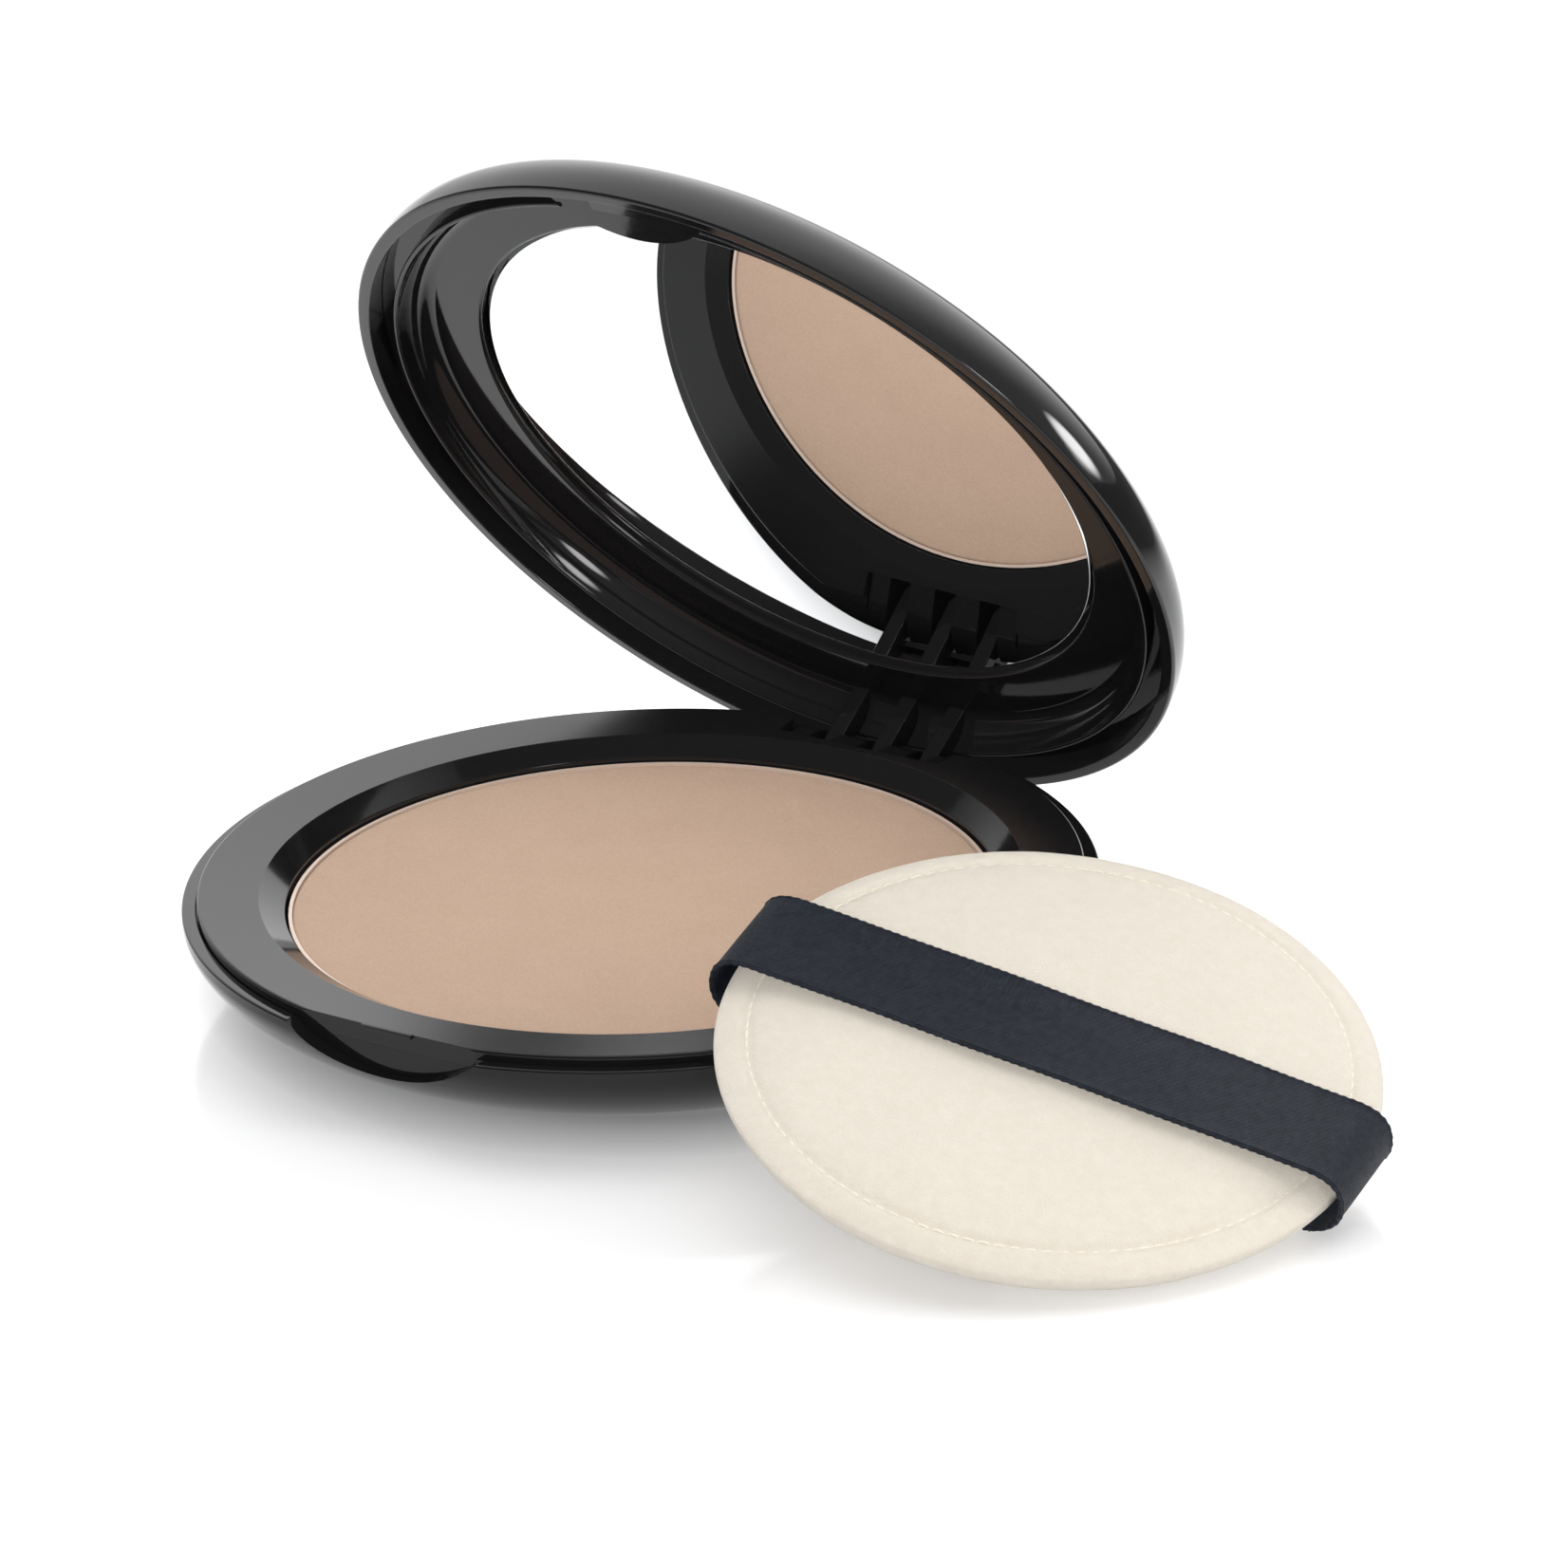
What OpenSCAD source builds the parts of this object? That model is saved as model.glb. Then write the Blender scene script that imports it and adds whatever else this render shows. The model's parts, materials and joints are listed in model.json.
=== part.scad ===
// Round pressed-powder compact: base with a metal pan of powder, mirrored
// lid on a pinned rear hinge, and a velour puff that leans on the rim.
// Millimetres. +Z is up, +Y points to the hinge, -Y to the thumb scoop, and
// the origin is the centre of the base's flat foot.

/* [Case] */
// Outer diameter of the case
case_d = 77; // [74:0.5:80]
// Height of the base's outer lip
lip_z = 8.5; // [8:0.1:9]
// Diameter of the flat foot
foot_d = 48.4; // [46:0.2:50]
// Height of the lid, from its rim to its crown
lid_h = 10.7; // [10.4:0.1:12]
// Wall thickness at the crown of the lid and the floor of the base
wall = 1.4; // [1.2:0.1:1.6]

/* [Deck] */
// Outer diameter of the flat deck round the powder
deck_d = 74.4; // [74:0.1:74.6]
// Height that the deck stands above the lip
deck_step = 0.8; // [0.5:0.1:1]
// Inner diameter of the deck, at its top face
deck_inner_d = 64; // [63:0.2:65]
// Distance from the centre to the straight front edge of the deck
chord_y = 36.2; // [36:0.05:36.4]
// Depth of the thumb scoop below the lip
scoop_depth = 3.2; // [2:0.1:3.4]
// Half width of the thumb scoop at the lip
scoop_half_w = 9.5; // [8:0.1:10]

/* [Powder] */
// Diameter of the metal pan
pan_d = 59.2; // [58:0.1:59.4]
// Height of the metal pan
pan_h = 4; // [3.6:0.1:4.1]
// Sheet thickness of the metal pan
pan_t = 0.3; // [0.3:0.05:0.5]

/* [Mirror] */
// Diameter of the mirror
mirror_d = 57.8; // [57:0.1:57.9]
// Thickness of the mirror glass
mirror_t = 1.4; // [1:0.1:1.4]
// Depth of the mirror's face inside the lid, from the rim
mirror_depth = 4.75; // [4.6:0.05:4.8]

/* [Hinge] */
// Angle between lid and base, 0 when the compact is shut
lid_open = 58.5; // [0:0.5:105]
// Distance from the centre to the hinge pin
hinge_y = 35.1; // [35:0.05:35.2]
// Height of the hinge pin
hinge_z = 4.95; // [4.9:0.05:5]
// Diameter of the hinge pin
pin_d = 1.2; // [1:0.1:1.4]

/* [Puff] */
// Diameter of the puff
puff_d = 54; // [53:0.5:54]
// Thickness of the puff above its seam
puff_top = 2.5; // [2:0.1:3]
// Thickness of the puff below its seam
puff_belly = 4.8; // [4:0.1:4.8]
// Width of the ribbon
ribbon_w = 10; // [9:0.1:12]

/* [Hidden] */
$fn = 144;

gloss_black = [0.05, 0.05, 0.055];
tin = [0.72, 0.72, 0.70];
powder = [0.77, 0.66, 0.57];
velour = [0.95, 0.91, 0.85];
navy = [0.15, 0.17, 0.20];

// Base: the curved underside is a superellipse between the foot and the lip.
case_r = case_d / 2;
foot_r = foot_d / 2;
lip_side = 0.75;
under_n = 1.65;
under_h = lip_z - lip_side;
lip_round = 0.35;
seat_r = 37.25;
ledge_z = lip_z - 0.9;
ledge_r = 35.8;
hollow_r = 35.2;
hollow_z = 6.9;
hollow_floor_r = 25;
label_r = 20;
label_t = 0.2;

// Deck insert: flat ring, sloping wall and a flat-bottomed well for the pan.
deck_z = lip_z + deck_step;
deck_r = deck_d / 2;
deck_inner_r = deck_inner_d / 2;
deck_plate = 1.2;
deck_round = 0.25;
well_r = 29.85;
well_wall = 1;
well_floor_z = 3.1;
well_floor_t = 0.8;
well_corner = 1.1;
deck_fall = 0.3;
slope_z = 7.75;
deck_edge = 0.1;
glue_t = 0.25;
pan_z = well_floor_z + glue_t;
pan_r = pan_d / 2;
cake_drop = 0.1;
catch_half_w = 2.5;
catch_ridge = 0.35;
catch_gap = 0.2;

// Hinge: comb of three lid lugs between two knuckles and two cheeks.
pin_r = pin_d / 2;
pin_half = 7.8;
fixed_bore_r = pin_r + 0.01;
lug_bore_r = pin_r + 0.05;
barrel_r = 3.5;
lug_r = 1.9;
lug_w = 1.6;
lug_pitch = 4.9;
bar_t = 1.1;
tongue_gap = 0.12;
tongue_t = 0.5;
knuckle_w = 2.7;
cheek_in = 6;
cheek_out = 8;
pocket_front = 32.9;
pocket_floor = hinge_z - lug_r - 0.3;
pocket_wall = 0.9;

// Lid, drawn shut: the parting plane is just above the lip.
part_z = lip_z + 0.15;
lid_r = 38.65;
lid_n = 2.57;
rim_round = 0.3;
rim_inner_r = 37.45;
rim_seat = 2.8;
lid_hollow_r = 36.9;
frame_lip = 0.85;
frame_seat = 2.3;
bezel_depth = 4.2;
bezel_r = 33.3;
mirror_r = mirror_d / 2;
recess_r = mirror_r + 0.08;
backing_t = 0.1;
tape_t = 0.15;
mirror_bevel = 0.5;
frame_floor = mirror_depth + mirror_t + backing_t + tape_t;
frame_floor_t = 0.9;
tab_half_w = 8;
tab_chord = 35.9;
tab_reach = 4.1;
tab_depth = 1.05;

// Puff: its own frame has the seam in the plane z = 0 and the face on +Z.
puff_r = puff_d / 2;
puff_at = [51.45, -16.6, 9.8];
puff_heading = -34.5;
puff_tilt = 16.7;
velour_t = 0.8;
seam_r = 24.4;
seam_w = 0.6;
ribbon_heading = 42.6;
ribbon_t = 0.35;
stitch_r = 0.15;

// A point of a quarter superellipse, from [1, 0] at a = 0 to [0, 1] at a = 90.
function super(a, n) = [pow(cos(a), 2 / n), pow(sin(a), 2 / n)];

// Height of the puff's skin above its seam plane, at radius r, for crown h.
function pillow(r, h) = h * sqrt(1 - pow(r / puff_r, 4));

module turn(points) {
    rotate_extrude() polygon(points);
}

// Draws in the lid's shut position and turns the result open about the pin.
module opened() {
    translate([0, hinge_y, hinge_z])
        rotate([-lid_open, 0, 0])
            translate([0, -hinge_y, -hinge_z])
                children();
}

// Draws in the puff's own frame and sets the result leaning on the rim.
module leaning() {
    translate(puff_at)
        rotate([0, 0, puff_heading])
            rotate([0, puff_tilt, 0])
                children();
}

// Extrudes a (y, z) outline along X, from x0 to x1.
module plate(x0, x1) {
    translate([x0, 0, 0])
        rotate([90, 0, 90])
            linear_extrude(x1 - x0)
                children();
}

// A round bar or bore along the pin's axis.
module on_pin(r, half) {
    translate([-half, hinge_y, hinge_z])
        rotate([0, 90, 0])
            cylinder(r = r, h = 2 * half);
}

// Room that the lid's rear rim sweeps through, behind the pin.
module rim_sweep() {
    plate(-20, 20)
        difference() {
            translate([hinge_y, hinge_z - 2]) square([6, 9]);
            translate([hinge_y, hinge_z]) circle(r = barrel_r);
        }
}

// The solid outline of the base, without its hollow.
module base_envelope() {
    curve = [for (a = [90:-6:0]) let (e = super(a, under_n))
        [foot_r + (case_r - foot_r) * e[0], under_h * (1 - e[1])]];
    turn(concat([[0, 0]], curve, [
        [case_r, lip_z - lip_round],
        [case_r - 0.1, lip_z - 0.1],
        [case_r - lip_round, lip_z],
        [0, lip_z]
    ]));
}

module base_hollow() {
    depth = hollow_z - wall;
    curve = [for (a = [90:-10:0]) let (e = super(a, under_n))
        [hollow_floor_r + (hollow_r - hollow_floor_r) * e[0], wall + depth * (1 - e[1])]];
    turn(concat([[0, wall]], curve, [
        [ledge_r, ledge_z],
        [seat_r, ledge_z],
        [seat_r, lip_z + 1],
        [0, lip_z + 1]
    ]));
}

// Side outline of the knuckles and cheeks.
module knuckle_outline() {
    translate([pocket_front, wall / 2])
        square([hinge_y - pocket_front, lip_z - wall / 2]);
    intersection() {
        translate([hinge_y, hinge_z]) circle(r = barrel_r);
        translate([hinge_y - 0.01, 0]) square([barrel_r + 1, lip_z]);
    }
}

module thumb_scoop() {
    arc_r = (pow(scoop_half_w, 2) + pow(scoop_depth, 2)) / (2 * scoop_depth);
    translate([0, -chord_y, lip_z - scoop_depth + arc_r])
        rotate([90, 0, 0])
            cylinder(r = arc_r, h = case_r);
}

module base_shell() {
    color(gloss_black)
    difference() {
        union() {
            difference() {
                base_envelope();
                base_hollow();
                translate([-cheek_out, pocket_front, pocket_floor]) cube([2 * cheek_out, 9, 9]);
                rim_sweep();
            }
            intersection() {
                base_envelope();
                union() {
                    for (side = [-1, 1]) {
                        plate(side * lug_pitch / 2 - knuckle_w / 2, side * lug_pitch / 2 + knuckle_w / 2)
                            knuckle_outline();
                        plate(side * (cheek_in + cheek_out) / 2 - 1, side * (cheek_in + cheek_out) / 2 + 1)
                            knuckle_outline();
                    }
                    translate([-cheek_out, pocket_front - pocket_wall, wall / 2])
                        cube([2 * cheek_out, pocket_wall, ledge_z - wall / 2]);
                }
            }
        }
        thumb_scoop();
        on_pin(fixed_bore_r, cheek_out + 1);
        translate([0, 0, -1]) cylinder(r = label_r, h = 1 + label_t);
    }
}

module base_label() {
    color(velour) cylinder(r = label_r, h = label_t);
}

module base_deck() {
    color(gloss_black)
    union() {
        difference() {
            turn([
                [0, well_floor_z],
                [well_r - well_corner, well_floor_z],
                [well_r, well_floor_z + well_corner],
                [well_r, slope_z],
                [deck_inner_r - deck_edge, deck_z - deck_fall - deck_edge],
                [deck_inner_r + deck_edge, deck_z - deck_fall],
                [deck_r - deck_round, deck_z],
                [deck_r, deck_z - deck_round],
                [deck_r, ledge_z],
                [ledge_r, ledge_z],
                [ledge_r, deck_z - deck_plate],
                [well_r + 2.4, deck_z - deck_plate],
                [well_r + well_wall, slope_z - 0.2],
                [well_r + well_wall, well_floor_z + well_corner + 0.2],
                [well_r - well_corner, well_floor_z - well_floor_t],
                [0, well_floor_z - well_floor_t]
            ]);
            translate([-case_r, -case_r - chord_y, 0]) cube([case_d, case_r, 2 * deck_z]);
            translate([-cheek_out - 0.2, pocket_front, 0]) cube([2 * cheek_out + 0.4, 9, 2 * deck_z]);
            rim_sweep();
        }
        translate([-catch_half_w, -chord_y - catch_ridge, deck_z - catch_ridge])
            cube([2 * catch_half_w, catch_ridge, catch_ridge]);
    }
}

module godet_glue() {
    color([0.9, 0.88, 0.8])
    for (a = [45:90:359])
        rotate([0, 0, a])
            translate([18, 0, well_floor_z])
                cylinder(r = 3.5, h = glue_t);
}

module godet() {
    color(tin)
    translate([0, 0, pan_z])
        turn([
            [0, 0], [pan_r - 0.8, 0], [pan_r, 0.8], [pan_r, pan_h],
            [pan_r - pan_t, pan_h], [pan_r - pan_t, 1], [pan_r - 0.95, pan_t], [0, pan_t]
        ]);
}

module powder_cake() {
    cake_r = pan_r - pan_t;
    top = pan_h - cake_drop;
    color(powder)
    translate([0, 0, pan_z])
        turn([
            [0, pan_t], [pan_r - 0.95, pan_t], [cake_r, 1], [cake_r, top - 0.3],
            [cake_r - 0.3, top - 0.05], [cake_r - 1.2, top], [0, top]
        ]);
}

module hinge_pin() {
    color(tin) on_pin(pin_r, pin_half);
}

module lid_shell() {
    crown = [for (a = [0:6:90]) let (e = super(a, lid_n))
        [lid_r * e[0], rim_round + (lid_h - rim_round) * e[1]]];
    ceiling = [for (a = [90:-9:0]) let (e = super(a, lid_n))
        [lid_hollow_r * e[0], rim_seat + (lid_h - wall - rim_seat) * e[1]]];
    color(gloss_black)
    opened()
    translate([0, 0, part_z])
        union() {
            turn(concat([[rim_inner_r, 0], [lid_r - rim_round, 0], [lid_r - 0.08, 0.1]], crown, ceiling,
                [[rim_inner_r, rim_seat]]));
            // Small catch nib that snaps under the ridge on the deck's front edge.
            translate([-catch_half_w, -rim_inner_r - 0.4, 0])
                cube([2 * catch_half_w, rim_inner_r + 0.4 - chord_y - catch_gap, 0.2]);
        }
}

// Half-moon outline of the tab over the thumb scoop, from chord to arc.
module half_moon() {
    arc_r = (pow(tab_half_w, 2) + pow(tab_reach, 2)) / (2 * tab_reach);
    intersection() {
        translate([0, -tab_chord + tab_reach - arc_r]) circle(r = arc_r);
        translate([-tab_half_w - 1, -tab_chord]) square([2 * tab_half_w + 2, tab_reach + 1]);
    }
}

// Side outline of one lid lug, from the mirror frame down to its eye.
module lug_outline() {
    front = hinge_y - lug_r;
    rear = hinge_y + 1.4;
    translate([hinge_y, hinge_z]) circle(r = lug_r);
    polygon([
        [front, hinge_z],
        [front - 0.2, part_z + bezel_depth + 0.1],
        [rear - 1.5, part_z + bezel_depth + 0.1],
        [rear, part_z + frame_seat + 0.2],
        [rear, hinge_z + 1.2]
    ]);
}

// Strip that hugs the knuckles and closes the gap behind them when the lid is open.
module tongue_outline() {
    inner = barrel_r + tongue_gap;
    translate([hinge_y, hinge_z])
        intersection() {
            difference() {
                circle(r = inner + tongue_t);
                circle(r = inner);
            }
            polygon([[0, 0], for (a = [60:17:94]) 2 * inner * [cos(a), sin(a)]]);
        }
}

module lid_frame() {
    back = frame_floor + frame_floor_t;
    color(gloss_black)
    opened()
    difference() {
        union() {
            translate([0, 0, part_z])
                difference() {
                    turn([
                        [0, frame_floor], [recess_r, frame_floor], [recess_r, bezel_depth],
                        [bezel_r, bezel_depth],
                        for (a = [15:15:90]) [
                            bezel_r + (rim_inner_r - 2.2 - bezel_r) * sin(a),
                            bezel_depth - (bezel_depth - frame_lip - 0.1) * (1 - cos(a))
                        ],
                        [rim_inner_r - 2, frame_lip], [rim_inner_r - 1.4, frame_lip],
                        [rim_inner_r - 1.2, frame_lip + 0.1], [rim_inner_r - 1.1, frame_seat],
                        [rim_inner_r - 0.05, frame_seat], [rim_inner_r - 0.05, rim_seat],
                        [lid_hollow_r - 0.4, rim_seat], [lid_hollow_r - 1.2, 3.2],
                        [33.9, 5.2], [31.2, 5.6], [30, 6.6], [27, back], [0, back]
                    ]);
                    translate([0, 0, -1]) linear_extrude(1 + bezel_depth) half_moon();
                }
            translate([0, 0, part_z])
                intersection() {
                    translate([0, 0, tab_depth])
                        linear_extrude(bezel_depth - tab_depth + 0.3)
                            half_moon();
                    turn([
                        [0, 0], [rim_inner_r - 0.05, 0], [rim_inner_r - 0.05, rim_seat],
                        [lid_hollow_r - 0.2, rim_seat], [lid_hollow_r - 0.5, 3], [lid_hollow_r - 1.4, 4.5],
                        [0, 4.5]
                    ]);
                }
            for (i = [-1:1])
                plate(i * lug_pitch - lug_w / 2, i * lug_pitch + lug_w / 2)
                    lug_outline();
            // Bar that ties the lugs to the rim, and its tongue over the knuckles.
            intersection() {
                plate(-cheek_in, cheek_in) {
                    translate([rim_inner_r - bar_t, part_z - 0.2])
                        square([bar_t, frame_seat + 0.45]);
                    tongue_outline();
                }
                cylinder(r = rim_inner_r - 0.05, h = case_d);
            }
        }
        on_pin(lug_bore_r, cheek_out);
    }
}

module mirror_glass() {
    color([0.86, 0.88, 0.9])
    opened()
    translate([0, 0, part_z + mirror_depth])
        turn([
            [0, 0], [mirror_r - mirror_bevel, 0], [mirror_r, mirror_bevel],
            [mirror_r, mirror_t], [0, mirror_t]
        ]);
}

module mirror_backing() {
    color([0.35, 0.35, 0.37])
    opened()
    translate([0, 0, part_z + mirror_depth + mirror_t])
        cylinder(r = mirror_r, h = backing_t);
}

module mirror_tape() {
    color([0.9, 0.9, 0.85])
    opened()
    translate([0, 0, part_z + mirror_depth + mirror_t + backing_t])
        cylinder(r = mirror_r - 3, h = tape_t);
}

// One skin of the puff: from radius 0 to the rim, with crown height h.
function skin(r, h) = [for (a = [0:9:90]) [r * sqrt(cos(a)), h * sin(a)]];
function reversed(list) = [for (i = [len(list) - 1:-1:0]) list[i]];

module puff_face() {
    color(velour)
    leaning()
    difference() {
        turn(concat(skin(puff_r, puff_top), reversed(skin(puff_r - 1, puff_top - velour_t))));
        translate([0, 0, pillow(seam_r, puff_top)])
            rotate_extrude() translate([seam_r, 0]) circle(r = seam_w / 2, $fn = 16);
    }
}

module puff_back() {
    color(velour)
    leaning()
    mirror([0, 0, 1])
        turn(concat(skin(puff_r, puff_belly), reversed(skin(puff_r - 1, puff_belly - velour_t))));
}

module puff_core() {
    lower = skin(puff_r - 1, puff_belly - velour_t);
    color([0.98, 0.96, 0.9])
    leaning()
    turn(concat(skin(puff_r - 1, puff_top - velour_t), [for (p = reversed(lower)) [p[0], -p[1]]]));
}

// Seam thread, laid in the groove that it pulls into the face.
module puff_seam() {
    color([0.9, 0.86, 0.78])
    leaning()
    translate([0, 0, pillow(seam_r, puff_top)])
        rotate_extrude() translate([seam_r, -0.08]) circle(r = stitch_r, $fn = 16);
}

// Centre line of the ribbon: tucked under the rim at each end and standing
// a little off the face between them.
ribbon_side = [
    [25, -2.85], [26.4, -2.35], [27.4, -1.5], [27.9, -0.4], [27.9, 0.8],
    [27.5, 1.9], [26.6, 2.65], [25.2, 3], [10, 3.15]
];

module ribbon_run(points) {
    for (i = [0:len(points) - 2])
        hull() {
            translate(points[i]) circle(d = ribbon_t, $fn = 16);
            translate(points[i + 1]) circle(d = ribbon_t, $fn = 16);
        }
}

module puff_ribbon() {
    other = [for (p = reversed(ribbon_side)) [-p[0], p[1]]];
    color(navy)
    leaning()
    rotate([0, 0, ribbon_heading])
        rotate([90, 0, 0])
            translate([0, 0, -ribbon_w / 2])
                linear_extrude(ribbon_w)
                    ribbon_run(concat(ribbon_side, other));
}

module ribbon_stitches() {
    color(navy)
    leaning()
    rotate([0, 0, ribbon_heading])
        for (side = [-1, 1], row = [-3:3])
            translate([side * ribbon_side[0][0], row * 1.4, ribbon_side[0][1] - ribbon_t / 2 - stitch_r - 0.02])
                sphere(r = stitch_r, $fn = 16);
}

base_shell();
base_label();
base_deck();
godet_glue();
godet();
powder_cake();
hinge_pin();
lid_shell();
lid_frame();
mirror_tape();
mirror_backing();
mirror_glass();
puff_back();
puff_core();
puff_face();
puff_seam();
puff_ribbon();
ribbon_stitches();
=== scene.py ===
"""Looks of a round pressed-powder compact with an open mirrored lid and a velour puff.

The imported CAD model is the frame. The four moulded parts, the powder, the mirror and the puff are
rebuilt here as finer meshes in the same places, and every piece gets a procedural material.
Shapes are drawn in millimetres and placed in metres.
"""
import json
import math

import bmesh
import bpy
import numpy as np
from mathutils import Matrix, Vector, noise


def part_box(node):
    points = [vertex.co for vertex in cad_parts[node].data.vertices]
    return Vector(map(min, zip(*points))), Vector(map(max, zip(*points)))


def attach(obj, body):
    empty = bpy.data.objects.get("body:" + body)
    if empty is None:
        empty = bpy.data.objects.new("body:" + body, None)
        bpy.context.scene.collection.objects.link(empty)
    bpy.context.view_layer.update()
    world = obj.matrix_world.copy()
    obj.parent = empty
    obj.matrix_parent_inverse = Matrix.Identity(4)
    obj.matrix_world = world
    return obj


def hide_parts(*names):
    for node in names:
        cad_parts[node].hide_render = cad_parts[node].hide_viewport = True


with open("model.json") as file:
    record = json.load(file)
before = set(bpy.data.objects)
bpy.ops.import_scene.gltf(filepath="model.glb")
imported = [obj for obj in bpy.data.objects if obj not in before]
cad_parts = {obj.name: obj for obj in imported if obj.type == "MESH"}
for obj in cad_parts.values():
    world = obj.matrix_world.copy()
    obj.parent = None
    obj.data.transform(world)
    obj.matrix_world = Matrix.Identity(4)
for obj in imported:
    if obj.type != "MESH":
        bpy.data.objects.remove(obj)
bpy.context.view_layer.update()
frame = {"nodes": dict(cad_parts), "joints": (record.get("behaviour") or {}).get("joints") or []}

MM = 0.001
SEGMENTS = 288
DRUM_SIDES = 64


# ---------------------------------------------------------------- sizes from the frame
def low(node):
    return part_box(node)[0] / MM


def high(node):
    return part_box(node)[1] / MM


CASE_R = high("base_shell").x
LIP_Z = 8.5
DECK_Z = high("base_deck").z
DECK_R = high("base_deck").x
PAN_R = high("godet").x
PAN_T = 0.3
PAN_Z = low("godet").z
PAN_TOP = high("godet").z
CAKE_TOP = high("powder_cake").z
HINGE = next(j for j in frame["joints"] if j["name"] == "lid_hinge")
HINGE_Y = HINGE["pos_m"][1] / MM
HINGE_Z = HINGE["pos_m"][2] / MM
LID_OPEN = math.radians(-HINGE["range_deg"][0])

# Base
FOOT_R = 24.2
LIP_SIDE = 0.75
UNDER_N = 1.65
WALL = 1.4
LEDGE_Z = LIP_Z - 0.9
LEDGE_R = 35.8
SEAT_R = 37.25
HOLLOW_R = 35.2
HOLLOW_Z = 6.9
HOLLOW_FLOOR_R = 25
LABEL_R = 20
LABEL_T = 0.2
CHORD_Y = 36.2
SCOOP_DEPTH = 3.2
SCOOP_HALF_W = 9.5

# Deck
DECK_INNER_R = 32
DECK_PLATE = 1.2
WELL_R = 29.85
WELL_WALL = 1
WELL_FLOOR_Z = 3.1
WELL_FLOOR_T = 0.8
WELL_CORNER = 1.1
SLOPE_Z = 7.75
DECK_FALL = 0.3
CATCH_HALF_W = 2.5
CATCH_RIDGE = 0.35

# Hinge
BARREL_R = 3.5
PIN_R = 0.6
LUG_R = 1.9
LUG_W = 1.6
LUG_PITCH = 4.9
BAR_T = 1.1
TONGUE_GAP = 0.12
TONGUE_T = 0.5
KNUCKLE_W = 2.7
CHEEK_IN = 6
CHEEK_OUT = 8
POCKET_FRONT = 32.9
POCKET_WALL = 0.9
POCKET_FLOOR = HINGE_Z - LUG_R - 0.3

# Lid, drawn shut
PART_Z = LIP_Z + 0.15
LID_R = 38.65
LID_H = 10.7
LID_N = 2.57
RIM_ROUND = 0.3
RIM_INNER_R = 37.45
RIM_SEAT = 2.8
LID_HOLLOW_R = 36.9
FRAME_LIP = 0.85
FRAME_SEAT = 2.3
FRAME_BEAD = 0.22
BEZEL_DEPTH = 4.2
BEZEL_R = 33.3
BEZEL_ROUND = 0.3
MIRROR_R = 28.9
MIRROR_T = 1.4
MIRROR_DEPTH = 4.75
MIRROR_BEVEL = 0.5
FRAME_FLOOR = MIRROR_DEPTH + MIRROR_T + 0.25
FRAME_FLOOR_T = 0.9
TAB_HALF_W = 8
TAB_CHORD = 35.9
TAB_REACH = 4.1
TAB_DEPTH = 1.05

# Puff
PUFF_R = 27
PUFF_TOP = 2.5
PUFF_BELLY = 4.8
PUFF_AT = (51.45, -16.6, 9.8)
PUFF_HEADING = math.radians(-34.5)
PUFF_TILT = math.radians(16.7)
CLOTH_T = 0.8
PUFF_UNEVEN = ((0.11, 0.16), (0.5, 0.05), (2.6, 0.022))  # features per millimetre, and height
SEAM_R = 24.4
SEAM_DEPTH = 0.56
SEAM_STITCHES = 120
RIBBON_W = 10
RIBBON_T = 0.3
WARP_PITCH = 0.16
TIE_PITCH = 0.42
SELVEDGE_PITCH = 0.75
RIBBON_HEADING = math.radians(42.6)
RIBBON_SIDE = [
    (25, -2.85), (26.4, -2.35), (27.4, -1.5), (27.9, -0.4), (27.9, 0.8),
    (27.5, 1.9), (26.6, 2.65), (25.2, 3), (23, 3.05), (18, 3.1), (10, 3.15),
]


# ---------------------------------------------------------------- camera and stage
def make_camera():
    azimuth, elevation, roll = (math.radians(a) for a in (34.956, 22.556, -2.2917))
    forward = Vector((
        -math.sin(azimuth) * math.cos(elevation),
        math.cos(azimuth) * math.cos(elevation),
        -math.sin(elevation),
    ))
    level = Vector((math.cos(azimuth), math.sin(azimuth), 0))
    upright = level.cross(forward)
    right = level * math.cos(roll) + upright * math.sin(roll)
    up = upright * math.cos(roll) - level * math.sin(roll)
    camera = bpy.data.objects.new("camera", bpy.data.cameras.new("camera"))
    camera.data.sensor_width = 36
    camera.data.lens = 274.24
    camera.matrix_world = Matrix.Translation(Vector((537.395, -747.272, 399.405)) * MM) @ Matrix((
        (right.x, up.x, -forward.x, 0),
        (right.y, up.y, -forward.y, 0),
        (right.z, up.z, -forward.z, 0),
        (0, 0, 0, 1),
    ))
    bpy.context.scene.collection.objects.link(camera)
    bpy.context.scene.camera = camera


def glow(tree, where, towards, outer, inner, strength):
    """A soft-edged patch of light on the world, between two angles in degrees from its middle."""
    middle = Vector(towards).normalized()
    near = measure(tree, "DOT_PRODUCT", where, middle)
    return node(tree, "MapRange", {
        "Value": near, "From Min": math.cos(math.radians(outer)), "From Max": math.cos(math.radians(inner)),
        "To Min": 0, "To Max": strength,
    }, interpolation_type="SMOOTHSTEP").outputs["Result"]


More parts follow.
